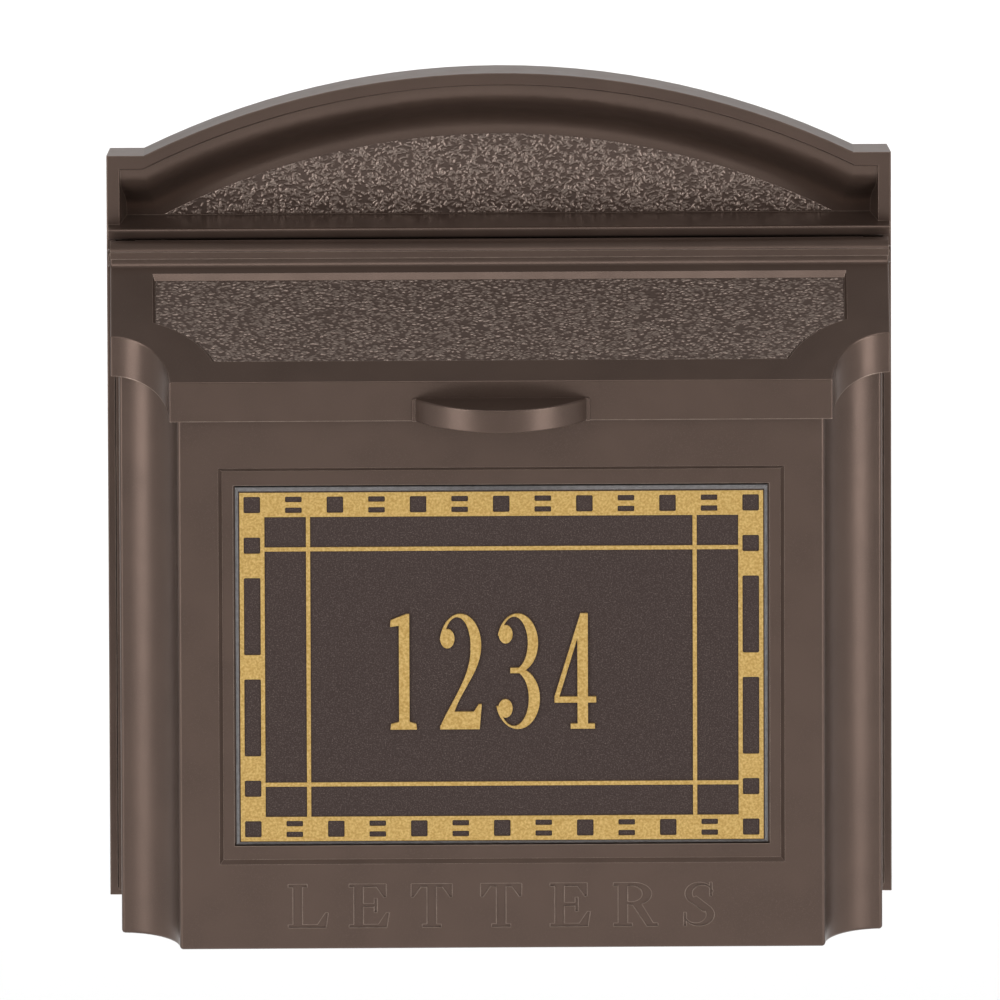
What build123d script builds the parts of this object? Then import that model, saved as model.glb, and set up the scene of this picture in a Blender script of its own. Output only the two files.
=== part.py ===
from build123d import *
import math
import os

# A wall-mounted cast mailbox: back casting with an arched crest, front shell, lift-up lid.
# Millimetres. X runs across, +Y into the wall, Z up. The wall plane is Y = 0.
# Heights below are counted from the bottom edge. The finished pieces are moved down by
# WALL_HOLE_MID, which puts the origin at the centre of the four wall holes on the wall plane.

# ---- driving dimensions -------------------------------------------------------------------
WIDTH = 362.4           # across the back casting's front edge
DEPTH = 108.6           # wall to the flat front face
LEDGE_TOP = 323.4       # bottom edge to the top of the ledge under the crest
SHOULDER_RISE = 32.9    # ledge to the crest's shoulders
ARCH_RISE = 38.8        # shoulders to the top of the arch
SHOULDER_LENGTH = 17.2  # level part at each end of the arch

# back casting
BACK_PLATE = 3.2
RIM_DEPTH = 20.0        # wall to the front of the rim and of the crest
RIM_WALL = 3.5
DRAFT = 5.0             # degrees, on the outside of the back casting
LEDGE_THICKNESS = 5.2
NOSE = 8.0              # the ledge ahead of the rim
NOSE_ROUND = 1.4
NOSE_SIDE_STEP = 0.7    # the nose stops this far inside the sides
LIP = 5.8               # width of the flat lip along the crest
SHOULDER_LIP = 6.6
COLUMN = 6.1            # width of the flat lip down each side of the crest
COLUMN_SLANT = 3.4
QUIRK = 1.2             # small step behind the lip
OGEE_DROP = 27.2
OGEE_LEAN = 0.63        # how far the S curve's handles reach, as a share of its drop
TYMPANUM_DEPTH = 4.0    # metal between the crest's panel and the wall
CORE_WALL = 3.4         # wall round the groove behind the crest
CORE_FOOT = 6.0         # groove's edges on the wall side, above the S curve's foot
CORE_KNEE = 11.0
CORE_KNEE_DEPTH = 6.0
CORE_SLANT = 6.0
CORE_END = 24.0         # groove stops this far short of the side lips
CREST_EDGE_ROUND = 0.6
WALL_HOLE_RADIUS = 3.3
WALL_HOLE_SIDE = 61.2   # side of the casting to the wall holes
WALL_HOLE_LOW = 100.0
WALL_HOLE_DROP = 43.4   # ledge to the upper wall holes
WALL_PAD_RADIUS = 12.0
WALL_PAD_HEIGHT = 2.0

# front shell
SHELL_WALL = 3.0
COVE = 26.8             # scooped front corners of the shell and the lid
SHELL_NEST = 12.0       # the shell reaches this far into the rim
NEST_GAP = 0.5
NEST_STEP = 6.0         # the widened back edge starts this far ahead of the rim
SHELL_EDGE_ROUND = 1.6
FRONT_WALL_HIDDEN = 10.5    # the front wall rises this far behind the lid's lip
SHELF = 8.0             # length of the side walls' step behind the front wall
SIDE_TOP_DROP = 13.0    # side walls stop this far below the lid's upper surface
REAR_DROP = 12.0        # and drop this much further behind the hinge
DRAIN_RADIUS = 2.5
DRAIN_SIDE = 51.2       # side of the casting to the drain holes
DRAIN_DEEP = 50.0
SCREW_RADIUS = 2.0
SCREW_HEAD_RADIUS = 3.8
SCREW_HEAD_HEIGHT = 2.0
SCREW_LENGTH = 15.0
SCREW_CLEARANCE = 0.25
SCREW_LOW = 28.0        # lowest pair of screws
SCREW_DROP = 51.4       # ledge to the highest pair
SHELL_BOSS_RADIUS = 4.6

# seat for the plaque in the front face
FRAME_SIDE = 50.75      # side of the casting to the frame
FRAME_BOTTOM = 41.1
FRAME_TOP_DROP = 23.7   # lid's lip to the frame
FRAME_DEPTH = 2.0
FRAME_BEVEL = 1.8
FRAME_MARGIN = 7.8      # frame to the plaque, at the sides
FRAME_MARGIN_UP = 9.5   # and above and below
PLAQUE_THICKNESS = 3.5
PLAQUE_LOW = 0.25       # the plaque sits this far below the frame's middle
PLAQUE_GAP = 0.9
PLAQUE_BEVEL = 1.4
SEAT_DEPTH = 4.5        # front face to the bottom of the plaque's seat
SEAT_BACKING = 3.1
GASKET = 0.5
RELIEF = 0.6
RELIEF_INSET = 0.6
RELIEF_LINE = 1.9
RELIEF_PITCH = 9.6
RELIEF_ROUND = 0.7
DIGIT_RELIEF = 1.2

# word in the front face
WORD_BOTTOM = 10.4
WORD_HEIGHT = 21.0
WORD_WIDTH = 198.0
WORD_DEPTH = 0.7

# digits
DIGIT_SHARE = 0.3232    # digits' height as a share of the plaque's
DIGIT_PITCH = 26.4
DIGIT_LOW = 2.45        # the number's middle, below the plaque's middle
DIGIT_SHIFT = -5.7      # and left of it

# lid
LID_SIDE_STEP = 1.6     # the lid's sides stand this far inside the casting's sides
LID_SIDE_GAP = 1.2      # between the lid's skirt and the shell
LID_OVERHANG = 4.5      # lip ahead of the front face
LID_WALL = 2.6
LID_TOP_WALL = 3.5
LIP_HEIGHT = 18.9
SLOPE = math.atan(0.537)
SLOPE_END_DROP = 2.443  # hinge axis to the top of the slope
SLOPE_END_STEP = 1.7    # and the slope ends this far ahead of the barrel
CAVETTO = 4.0
FASCIA_STEP = 0.5
FASCIA = 3.4
FASCIA_SLANT = 0.9
BARREL_WALL = 2.7
BARREL_FRONT = 146      # degrees round the hinge axis, from the wall side over the top
BARREL_REAR = 15
PANEL_SIDE = 19.6       # lid's side to the panel
PANEL_NEAR = 13.8       # up the slope from the lip edge
PANEL_END = 3.668       # panel to the top of the slope
PANEL_CUT_ACROSS = 27.2
PANEL_CUT_UP = 25.7
PANEL_CURVE_ACROSS = 0.69   # middle of the scooped corner, as shares of the cut
PANEL_CURVE_UP = 0.51
PANEL_FAR_BEVEL = 3.2   # slant of the panel's far wall; its other walls are steeper
PANEL_SIDE_BEVEL = 1.0
PANEL_NEAR_BEVEL = 0.6
PANEL_DEPTH = 1.5
LID_EDGE_ROUND = 0.8

# hinge
HINGE_DROP = 10.9       # top of the ledge to the hinge axis
NOSE_CLEARANCE = 1.2    # ledge's nose to the barrel
BARREL_RADIUS = 7.9
EAR_RADIUS = 4.3
EAR_STEM = 7.0
EAR_THICKNESS = 6.0
EAR_ROOT = 12.0         # the ear's stem starts this far below the side wall's top
EAR_NOTCH_LOW = 8.0     # notch in the barrel for the ear, below and above the axis
EAR_NOTCH_HIGH = 12.0
EAR_NOTCH_STEP = 0.3    # and how far behind the axis it starts
PIN_RADIUS = 2.0
PIN_RUNNING_FIT = 0.05
PIN_HEAD_RADIUS = 4.0
PIN_HEAD = 1.0
PIN_TIP = 0.8           # past the clip
WASHER_RADIUS = 4.2
WASHER_PLAY = 0.3       # the washer is this much thinner than its gap
CLIP_RADIUS = 4.8
CLIP = 0.8
SIDE_PLAY = 0.2

# pull
PULL_PLATE_WIDTH = 81.8 # thin plate the bow stands on
PULL_PLATE = 1.0
PULL_PLATE_ROUND = 0.5
PULL_CORNER = 1.4
PULL_WIDTH = 79.0
PULL_PROUD = 21.3
PULL_HEIGHT = 11.0
PULL_WALL = 3.0
PULL_SCREW_ACROSS = 56.0
PULL_EDGE_ROUND = 0.8
PULL_BOSS_RADIUS = 3.9
PULL_BOSS_END = 2.0     # metal past the tip of the screw
PULL_WEB = 4.0
PULL_SCREW_LENGTH = 9.0

# bumpers
BUMPER_RADIUS = 3.5
BUMPER_ACROSS = 200.0
BUMPER_GAP = 0.3
BUMPER_STEM = 4.0
BUMPER_STEM_RADIUS = 2.0
BUMPER_BOSS_WALL = 1.5
BUMPER_BOSS_DEPTH = 10.0

# plaque fasteners
STUD_RADIUS = 2.0
STUD_SIDE = 18.0        # plaque's edges to the studs
STUD_EDGE = 17.1
STUD_END = 1.0          # thread past the nut
GASKET_INSET = 2.0
PLAQUE_WASHER_RADIUS = 4.5
PLAQUE_WASHER = 0.8
NUT_FLATS = 7.0
NUT_HEIGHT = 3.2

# ---- worked out ---------------------------------------------------------------------------
HALF = WIDTH / 2
SHOULDER_TOP = LEDGE_TOP + SHOULDER_RISE
CREST_TOP = SHOULDER_TOP + ARCH_RISE
ARCH_HALF = HALF - SHOULDER_LENGTH
CREST_RADIUS = (ARCH_HALF**2 + ARCH_RISE**2) / (2 * ARCH_RISE)
CREST_CENTRE = CREST_TOP - CREST_RADIUS
WALL_HOLE_TOP = LEDGE_TOP - WALL_HOLE_DROP
WALL_HOLE_MID = (WALL_HOLE_LOW + WALL_HOLE_TOP) / 2
HINGE_Y = -RIM_DEPTH - NOSE - NOSE_CLEARANCE - BARREL_RADIUS
HINGE_Z = LEDGE_TOP - HINGE_DROP
LID_HALF = HALF - LID_SIDE_STEP
LIP_FRONT = -DEPTH - LID_OVERHANG
SLOPE_RUN = HINGE_Y - BARREL_RADIUS - SLOPE_END_STEP - LIP_FRONT
LIP_TOP = HINGE_Z - SLOPE_END_DROP - SLOPE_RUN * math.tan(SLOPE)
LIP_BOTTOM = LIP_TOP - LIP_HEIGHT
PANEL_HALF = LID_HALF - PANEL_SIDE
PANEL_FAR = SLOPE_RUN / math.cos(SLOPE) - PANEL_END
SHELL_HALF = LID_HALF - LID_WALL - LID_SIDE_GAP
FRONT_WALL_TOP = LIP_BOTTOM + FRONT_WALL_HIDDEN
FRAME_WIDTH = WIDTH - 2 * FRAME_SIDE
FRAME_TOP = LIP_BOTTOM - FRAME_TOP_DROP
PLAQUE_WIDTH = FRAME_WIDTH - 2 * FRAME_MARGIN
PLAQUE_HEIGHT = FRAME_TOP - FRAME_BOTTOM - 2 * FRAME_MARGIN_UP
PLAQUE_MID = (FRAME_TOP + FRAME_BOTTOM) / 2 - PLAQUE_LOW
SEAT_FLOOR = -DEPTH + SEAT_DEPTH
SEAT_BACK = SEAT_FLOOR + SEAT_BACKING
PLAQUE_FACE = SEAT_FLOOR - GASKET - PLAQUE_THICKNESS
EAR_INNER = SHELL_HALF - EAR_THICKNESS
CUT = 50.0              # more than any wall, for cutters that must pass right through

# Cutters start and end 1 mm outside the metal they cut.


def span(x_low, x_high, y_low, y_high, z_low, z_high):
    """A box between two limits on each axis."""
    middle = Pos((x_low + x_high) / 2, (y_low + y_high) / 2, (z_low + z_high) / 2)
    return middle * Box(x_high - x_low, y_high - y_low, z_high - z_low)


def across(profile, x_low, x_high):
    """Extrude a (Y, Z) profile along X."""
    return Pos(x_low, 0, 0) * extrude(Plane.YZ * profile, x_high - x_low)


def upwards(profile, z_low, z_high):
    """Extrude an (X, Y) profile along Z."""
    return Pos(0, 0, z_low) * extrude(profile, z_high - z_low)


def forwards(profile, y_back, thickness):
    """Extrude an (X, Z) profile from y_back towards the front."""
    return extrude(Plane.XZ.offset(-y_back) * profile, thickness)


def outline(*corners):
    """A face inside straight edges."""
    return make_face(Polyline(*corners, close=True))


def rod_x(radius, x_low, x_high, y, z):
    """A round bar along X."""
    return Pos((x_low + x_high) / 2, y, z) * Rot(0, 90, 0) * Cylinder(radius, x_high - x_low)


def rod_y(radius, y_low, y_high, x, z):
    """A round bar along Y."""
    return Pos(x, (y_low + y_high) / 2, z) * Rot(90, 0, 0) * Cylinder(radius, y_high - y_low)


def slope_top(y):
    """Height of the lid's upper surface at a place along Y."""
    return LIP_TOP + math.tan(SLOPE) * (y - LIP_FRONT)


def coved_plan(half, front, back, cove):
    """Plan outline with its two front corners scooped out by quarter circles."""
    bend = cove * math.cos(math.radians(45))
    right = [
        Line((half - cove, front), (cove - half, front)),
        Line((half, back), (half, front + cove)),
        ThreePointArc((half, front + cove), (half - bend, front + bend), (half - cove, front)),
    ]
    left = [
        ThreePointArc((cove - half, front), (bend - half, front + bend), (-half, front + cove)),
        Line((-half, front + cove), (-half, back)),
        Line((-half, back), (half, back)),
    ]
    return make_face(right + left)


# ---- back casting -------------------------------------------------------------------------
def crest_outline():
    """Front outline: straight sides, level shoulders and an arch between them."""
    spring = ARCH_HALF
    return make_face(
        [
            Line((-HALF, 0), (HALF, 0)),
            Line((HALF, 0), (HALF, SHOULDER_TOP)),
            Line((HALF, SHOULDER_TOP), (spring, SHOULDER_TOP)),
            ThreePointArc((spring, SHOULDER_TOP), (0, CREST_TOP), (-spring, SHOULDER_TOP)),
            Line((-spring, SHOULDER_TOP), (-HALF, SHOULDER_TOP)),
            Line((-HALF, SHOULDER_TOP), (-HALF, 0)),
        ]
    )


def ogee_profile(top, bottom, flip):
    """Section of the recess under a lip: a small step, then an S curve back to the panel."""
    front = -RIM_DEPTH
    back = -TYMPANUM_DEPTH
    start = front + QUIRK
    lean = OGEE_DROP * OGEE_LEAN
    points = [(top, start), (top - lean, start), (top - OGEE_DROP + lean, back)]
    points.append((top - OGEE_DROP, back))
    corners = [(top - OGEE_DROP, back), (bottom, back), (bottom, front - 1), (top, front - 1)]
    corners.append((top, start))
    if flip:
        points = [(across_y, up) for up, across_y in points]
        corners = [(across_y, up) for up, across_y in corners]
    return make_face([Bezier(*points), Polyline(*corners)])


def crest_recess():
    """The hollow in the front of the crest, down to its textured panel."""
    lip_radius = CREST_RADIUS - LIP
    radial = Plane(origin=(0, 0, CREST_CENTRE), x_dir=(0, 0, 1), z_dir=(-1, 0, 0))
    past_ledge = LEDGE_TOP - CREST_CENTRE - CUT / 2
    section = radial * ogee_profile(lip_radius, past_ledge, False)
    axis = Axis((0, 0, CREST_CENTRE), (0, 1, 0))
    arch = revolve(section, axis, 360)
    inner = HALF - COLUMN
    shoulder_top = SHOULDER_TOP - SHOULDER_LIP
    shoulder = across(ogee_profile(shoulder_top, LEDGE_TOP - CUT / 2, True), -inner, inner)
    narrow = inner - COLUMN_SLANT
    front = -RIM_DEPTH - 1
    sides = outline(
        (-inner, front), (inner, front), (inner, -RIM_DEPTH), (narrow, -TYMPANUM_DEPTH),
        (-narrow, -TYMPANUM_DEPTH), (-inner, -RIM_DEPTH),
    )
    return (arch + shoulder) & upwards(sides, LEDGE_TOP, CREST_TOP)


def crest_core():
    """Groove behind the crest that keeps its walls even."""
    outer = CREST_RADIUS - CORE_WALL - RIM_DEPTH * math.tan(math.radians(DRAFT))
    inner = CREST_RADIUS - LIP - OGEE_DROP
    deep = -RIM_DEPTH + QUIRK + CORE_WALL
    section = outline(
        (inner + CORE_FOOT, 1), (outer, 1), (outer, deep), (outer - CORE_SLANT, deep + 0.6),
        (inner + CORE_KNEE, -CORE_KNEE_DEPTH),
    )
    radial = Plane(origin=(0, 0, CREST_CENTRE), x_dir=(0, 0, 1), z_dir=(-1, 0, 0))
    axis = Axis((0, 0, CREST_CENTRE), (0, 1, 0))
    ring = revolve(radial * section, axis, 360)
    reach = HALF - COLUMN - CORE_END
    return ring & span(-reach, reach, -RIM_DEPTH, 1, LEDGE_TOP, CREST_TOP)


def wall_hole_places():
    for side in (-1, 1):
        for z in (WALL_HOLE_LOW, WALL_HOLE_TOP):
            yield side * (HALF - WALL_HOLE_SIDE), z


def shell_screw_places():
    reach = SHELL_HALF - SHELL_WALL - SHELL_BOSS_RADIUS + 1
    high = LEDGE_TOP - SCREW_DROP
    for side in (-1, 1):
        for height in (SCREW_LOW, (SCREW_LOW + high) / 2, high):
            yield side * reach, height


def countersunk_hole(x, z, face):
    """Clearance hole and countersink that open at a face looking towards the wall."""
    radius = SCREW_RADIUS + SCREW_CLEARANCE
    sink = Cone(SCREW_HEAD_RADIUS + SCREW_CLEARANCE, radius, SCREW_HEAD_HEIGHT)
    placed_sink = Pos(x, face - SCREW_HEAD_HEIGHT / 2, z) * Rot(90, 0, 0) * sink
    return rod_y(radius, face - 5, face + 1, x, z) + placed_sink


def countersunk_screw(x, z, face, length):
    """A slotted countersunk screw that points forwards, its head flush with a face."""
    cone = Cone(SCREW_HEAD_RADIUS, SCREW_RADIUS, SCREW_HEAD_HEIGHT)
    head = Pos(x, face - SCREW_HEAD_HEIGHT / 2, z) * Rot(90, 0, 0) * cone
    shank = rod_y(SCREW_RADIUS, face - length, face - SCREW_HEAD_HEIGHT / 2, x, z)
    slot = span(x - 0.5, x + 0.5, face - 0.9, face + 1, z - CUT, z + CUT)
    return head + shank - slot


def on_rim_plane(edge):
    """True for the edges of the crest and rim that face the front, but not the floor's."""
    ahead = all(abs((edge @ place).Y + RIM_DEPTH) < 0.01 for place in (0, 0.5, 1))
    middle = edge.center()
    floor = abs(middle.X) < 1 and middle.Z < LEDGE_TOP + 1
    return ahead and not floor


def back_casting():
    blank = Plane.XZ.offset(RIM_DEPTH) * crest_outline()
    body = extrude(blank, RIM_DEPTH, dir=(0, 1, 0), taper=DRAFT) - crest_recess()
    body = fillet(body.edges().filter_by(on_rim_plane), CREST_EDGE_ROUND)
    nose_half = HALF - NOSE_SIDE_STEP
    nose_low = LEDGE_TOP - LEDGE_THICKNESS
    nose_front = -RIM_DEPTH - NOSE
    nose = span(-nose_half, nose_half, nose_front, -RIM_DEPTH + 1, nose_low, LEDGE_TOP)
    front_edges = nose.edges().filter_by(Axis.X).group_by(Axis.Y)[0]
    nose = fillet(front_edges, NOSE_ROUND)
    body = body + nose
    inner = HALF - RIM_WALL
    body = body - span(-inner, inner, -CUT, -BACK_PLATE, RIM_WALL, nose_low)
    body = body - crest_core()
    for x, z in wall_hole_places():
        pad_front = -BACK_PLATE - WALL_PAD_HEIGHT
        body = body + rod_y(WALL_PAD_RADIUS, pad_front, -BACK_PLATE / 2, x, z)
        body = body - rod_y(WALL_HOLE_RADIUS, -CUT, 1, x, z)
    for x, z in shell_screw_places():
        body = body - countersunk_hole(x, z, 0)
    return body


# ---- front shell --------------------------------------------------------------------------
def shell_side_profile():
    """Side view of the shell: low front wall, sides that follow the lid."""
    nest_back = -RIM_DEPTH + SHELL_NEST
    front = -DEPTH - 1
    shelf = -DEPTH + SHELL_WALL + SHELF
    rear_top = slope_top(-RIM_DEPTH - NOSE) - SIDE_TOP_DROP - REAR_DROP
    knee = HINGE_Y + EAR_RADIUS + 4
    return outline(
        (front, 0), (nest_back, 0), (nest_back, rear_top), (-RIM_DEPTH - NEST_STEP, rear_top),
        (knee, slope_top(HINGE_Y) - SIDE_TOP_DROP), (HINGE_Y, slope_top(HINGE_Y) - SIDE_TOP_DROP),
        (shelf, slope_top(shelf) - SIDE_TOP_DROP), (shelf, FRONT_WALL_TOP), (front, FRONT_WALL_TOP),
    )


def hinge_ear(side):
    """Rounded ear on the inside of a side wall, bored for the hinge pin."""
    low = slope_top(HINGE_Y) - SIDE_TOP_DROP - EAR_ROOT
    x_low = min(side * EAR_INNER, side * SHELL_HALF)
    x_high = max(side * EAR_INNER, side * SHELL_HALF)
    stem = span(x_low, x_high, HINGE_Y - EAR_STEM / 2, HINGE_Y + EAR_STEM / 2, low, HINGE_Z)
    ear = stem + rod_x(EAR_RADIUS, x_low, x_high, HINGE_Y, HINGE_Z)
    return ear - rod_x(PIN_RADIUS, x_low - 1, x_high + 1, HINGE_Y, HINGE_Z)


def nest_flange():
    """Strips that widen the shell's back edge to sit just inside the rim."""
    inside = HALF - RIM_WALL - NEST_GAP
    y_low = -RIM_DEPTH - NEST_STEP
    y_high = -RIM_DEPTH + SHELL_NEST
    low = RIM_WALL + NEST_GAP
    high = slope_top(-RIM_DEPTH - NOSE) - SIDE_TOP_DROP - REAR_DROP - 2
    strips = []
    for side in (-1, 1):
        near = side * (SHELL_HALF - 1)
        far = side * inside
        strips.append(span(min(near, far), max(near, far), y_low, y_high, low, high))
    floor_strip = span(-inside, inside, y_low, y_high, low, low + SHELL_WALL)
    foot = span(-SHELL_HALF + 1, SHELL_HALF - 1, y_low, -RIM_DEPTH, 1, low + 1)
    return strips + [floor_strip, foot]


def recess_with_bevel(width, bottom, top, depth, bevel):
    """A rectangular recess whose walls slant inwards to its floor."""
    mid = (bottom + top) / 2
    height = top - bottom
    wide = Plane.XZ.offset(DEPTH) * (Pos(0, mid) * Rectangle(width, height))
    narrow_size = Rectangle(width - 2 * bevel, height - 2 * bevel)
    narrow = Plane.XZ.offset(DEPTH - depth) * (Pos(0, mid) * narrow_size)
    return loft([wide.face(), narrow.face()])


def plaque_stud_places():
    for side in (-1, 1):
        for level in (-1, 1):
            x = side * (PLAQUE_WIDTH / 2 - STUD_SIDE)
            yield x, PLAQUE_MID + level * (PLAQUE_HEIGHT / 2 - STUD_EDGE)


def bumper_places():
    return [(side * BUMPER_ACROSS / 2, -DEPTH + SHELL_WALL + BUMPER_RADIUS - 1) for side in (-1, 1)]


def bumper_stem():
    """A bumper's stem, down from its origin."""
    return Pos(0, 0, -BUMPER_STEM / 2) * Cylinder(BUMPER_STEM_RADIUS, BUMPER_STEM)


def front_shell():
    plan = coved_plan(SHELL_HALF, -DEPTH, -RIM_DEPTH, COVE)
    full_height = HINGE_Z
    body = upwards(plan, 0, full_height)
    upright = body.edges().filter_by(Axis.Z).filter_by(lambda edge: edge.center().Y < -RIM_DEPTH - 1)
    body = fillet(upright, SHELL_EDGE_ROUND)
    low = body.faces().sort_by(Axis.Z)[0].edges()
    low = low.filter_by(lambda edge: edge.center().Y < -RIM_DEPTH - 1)
    body = fillet(low, SHELL_EDGE_ROUND)
    nest_back = -RIM_DEPTH + SHELL_NEST
    body = body + span(-SHELL_HALF, SHELL_HALF, -RIM_DEPTH, nest_back, 0, full_height)
    hollow_plan = coved_plan(SHELL_HALF - SHELL_WALL, -DEPTH + SHELL_WALL, CUT, COVE)
    body = body - upwards(hollow_plan, SHELL_WALL, full_height + 1)
    below_nest = RIM_WALL + NEST_GAP
    body = body - span(-HALF, HALF, -RIM_DEPTH, CUT, -1, below_nest)
    body = body & across(shell_side_profile(), -HALF, HALF)
    for strip in nest_flange():
        body = body + strip
    seat_half = PLAQUE_WIDTH / 2 + PLAQUE_GAP
    seat_low = PLAQUE_MID - PLAQUE_HEIGHT / 2 - PLAQUE_GAP
    seat_high = PLAQUE_MID + PLAQUE_HEIGHT / 2 + PLAQUE_GAP
    backing_half = seat_half + SEAT_BACKING
    inside = -DEPTH + SHELL_WALL / 2
    body = body + span(
        -backing_half, backing_half, inside, SEAT_BACK, seat_low - SEAT_BACKING, seat_high + SEAT_BACKING
    )
    body = body - recess_with_bevel(FRAME_WIDTH, FRAME_BOTTOM, FRAME_TOP, FRAME_DEPTH, FRAME_BEVEL)
    body = body - span(-seat_half, seat_half, -DEPTH - 1, SEAT_FLOOR, seat_low, seat_high)
    body = body - word_cutter()
    for x, z in plaque_stud_places():
        body = body - rod_y(STUD_RADIUS + SCREW_CLEARANCE, -DEPTH - 1, SEAT_BACK + 1, x, z)
    for side in (-1, 1):
        body = body + hinge_ear(side)
    for x, z in shell_screw_places():
        body = body + rod_y(SHELL_BOSS_RADIUS, -RIM_DEPTH - NEST_STEP, -BACK_PLATE, x, z)
        body = body - rod_y(SCREW_RADIUS, -SCREW_LENGTH - 1, 0, x, z)
    for x, y in bumper_places():
        boss = Cylinder(BUMPER_RADIUS + BUMPER_BOSS_WALL, BUMPER_BOSS_DEPTH)
        boss = Pos(x, y, FRONT_WALL_TOP - BUMPER_BOSS_DEPTH / 2) * boss
        body = body + (boss & span(-HALF, HALF, -DEPTH + 1, CUT, 0, FRONT_WALL_TOP))
        body = body - Pos(x, y, FRONT_WALL_TOP) * bumper_stem()
    for side in (-1, 1):
        for place in (-1, 1):
            x = side * (HALF - DRAIN_SIDE)
            y = -DEPTH / 2 - RIM_DEPTH / 2 + place * DRAIN_DEEP / 2
            body = body - Pos(x, y, 0) * Cylinder(DRAIN_RADIUS, CUT)
    return body


# ---- lettering ----------------------------------------------------------------------------
CAP = 21.0              # design height of the letters below
STEM = 4.4
HAIR = 1.5


def bar(x_low, x_high, z_low, z_high):
    """A flat rectangle between limits."""
    middle = Pos((x_low + x_high) / 2, (z_low + z_high) / 2)
    return middle * Rectangle(x_high - x_low, z_high - z_low)


def oval(x, z, x_radius, z_radius):
    """A filled ellipse."""
    if x_radius >= z_radius:
        return Pos(x, z) * Ellipse(x_radius, z_radius)
    return Pos(x, z) * Rot(0, 0, 90) * Ellipse(z_radius, x_radius)


def letter_stem(x):
    """An upright stroke with a slab serif at each end."""
    stroke = bar(x - STEM / 2, x + STEM / 2, 0, CAP)
    foot = bar(x - STEM, x + STEM, 0, HAIR)
    head = bar(x - STEM, x + STEM, CAP - HAIR, CAP)
    return stroke + foot + head


def letter_l():
    arm = bar(STEM, 17.5, 0, HAIR)
    beak = outline((17.5, 0), (18.6, 7.2), (17.2, 7.2), (13.5, HAIR), (13.5, 0))
    return letter_stem(STEM) + arm + beak


def letter_e():
    top = bar(STEM, 16.5, CAP - HAIR, CAP)
    top_beak = outline((17.2, CAP), (17.2, 14.6), (16.0, 14.6), (12.6, CAP - HAIR), (12.6, CAP))
    middle = bar(STEM, 12.4, 10.0, 10.0 + HAIR)
    middle_beak = bar(11.6, 13.0, 7.4, 14.1)
    return letter_l() + top + top_beak + middle + middle_beak


def letter_t():
    cap = bar(0, 19, CAP - HAIR, CAP)
    left = outline((0, CAP), (0, 14.6), (1.2, 14.6), (4.6, CAP - HAIR), (4.6, CAP))
    right = outline((19, CAP), (19, 14.6), (17.8, 14.6), (14.4, CAP - HAIR), (14.4, CAP))
    stroke = bar(9.5 - STEM / 2, 9.5 + STEM / 2, 0, CAP)
    foot = bar(9.5 - STEM, 9.5 + STEM, 0, HAIR)
    return cap + left + right + stroke + foot


def letter_r():
    bowl = oval(9.5, 15.6, 8.2, 5.4) - oval(8.2, 15.6, 5.2, 3.9)
    bowl = bowl & bar(STEM, 20, 9, CAP)
    leg = outline((8.4, 11.0), (12.6, 11.4), (18.4, HAIR), (20.6, HAIR), (20.6, 0), (15.4, 0))
    return letter_stem(STEM) + bowl + leg


def letter_s():
    upper = oval(7.6, 15.6, 6.6, 5.4) - oval(9.0, 15.7, 4.6, 4.0)
    upper = upper - bar(8.4, 20, 9, 16.4)
    lower = oval(7.6, 5.4, 7.0, 5.4) - oval(6.0, 5.3, 4.8, 4.0)
    lower = lower - bar(-2, 6.8, 4.7, 12)
    spine = outline((2.6, 12.4), (6.2, 14.4), (13.2, 8.8), (9.8, 6.6))
    top_beak = bar(12.4, 13.6, 14.4, CAP)
    foot_beak = bar(0.4, 1.6, 0, 6.6)
    return upper + lower + spine + top_beak + foot_beak


def word_cutter():
    """The word LETTERS, sunk into the front face under the plaque."""
    letters = [letter_l, letter_e, letter_t, letter_t, letter_e, letter_r, letter_s]
    advances = [25.0, 25.5, 28.5, 28.5, 26.0, 28.5, 14.0]
    spread = WORD_WIDTH / sum(advances)
    x = -WORD_WIDTH / 2
    cutters = Part()
    for letter, advance in zip(letters, advances):
        shape = Pos(x, WORD_BOTTOM) * scale(letter(), by=WORD_HEIGHT / CAP)
        cutters = cutters + forwards(shape, -DEPTH + WORD_DEPTH, WORD_DEPTH + 1)
        x += advance * spread
    return cutters


DIGIT_CAP = 55.5        # design height of the digits below


def digit_one():
    return outline(
        (0, 0), (12.2, 0), (11.9, 2.6), (8.8, 3.6), (8.8, 55.5), (7.4, 55.5),
        (0.2, 52.6), (0, 49.4), (4.0, 50.0), (4.0, 3.6), (0.3, 2.6),
    )


def digit_two():
    bowl = oval(9.4, 40.5, 9.6, 15.0) - oval(7.9, 40.5, 6.2, 13.5)
    bowl = bowl - bar(-1, 9.4, 20, 43) - bar(9, 20, 20, 38)
    ball = oval(3.4, 43.6, 3.3, 4.6)
    outer = Spline((19.0, 40.5), (17.0, 30.2), (11.4, 19.0), (6.6, 8.4))
    inner = Spline((0, 1.2), (7.6, 16.6), (12.6, 28.6), (14.1, 40.5))
    sweep = make_face([outer, Line((6.6, 8.4), (0, 1.2)), inner, Line((14.1, 40.5), (19.0, 40.5))])
    foot = outline((0, 0), (18.2, 0), (19.2, 12.0), (17.8, 12.0), (15.6, 8.4), (6.4, 8.4), (0, 1.6))
    return bowl + ball + sweep + foot


def digit_three():
    upper = oval(9.0, 41.4, 9.4, 14.1) - oval(7.4, 41.4, 6.3, 12.7)
    upper = upper - bar(-1, 7.8, 26, 45)
    lower = oval(9.0, 14.6, 10.2, 14.6) - oval(7.2, 14.6, 6.9, 13.2)
    lower = lower - bar(-2, 7.8, 11, 30)
    top_ball = oval(3.5, 45.6, 3.2, 4.4)
    low_ball = oval(3.3, 9.9, 3.3, 4.4)
    waist = bar(5.6, 11, 26.9, 29.4)
    return upper + lower + top_ball + low_ball + waist


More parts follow.
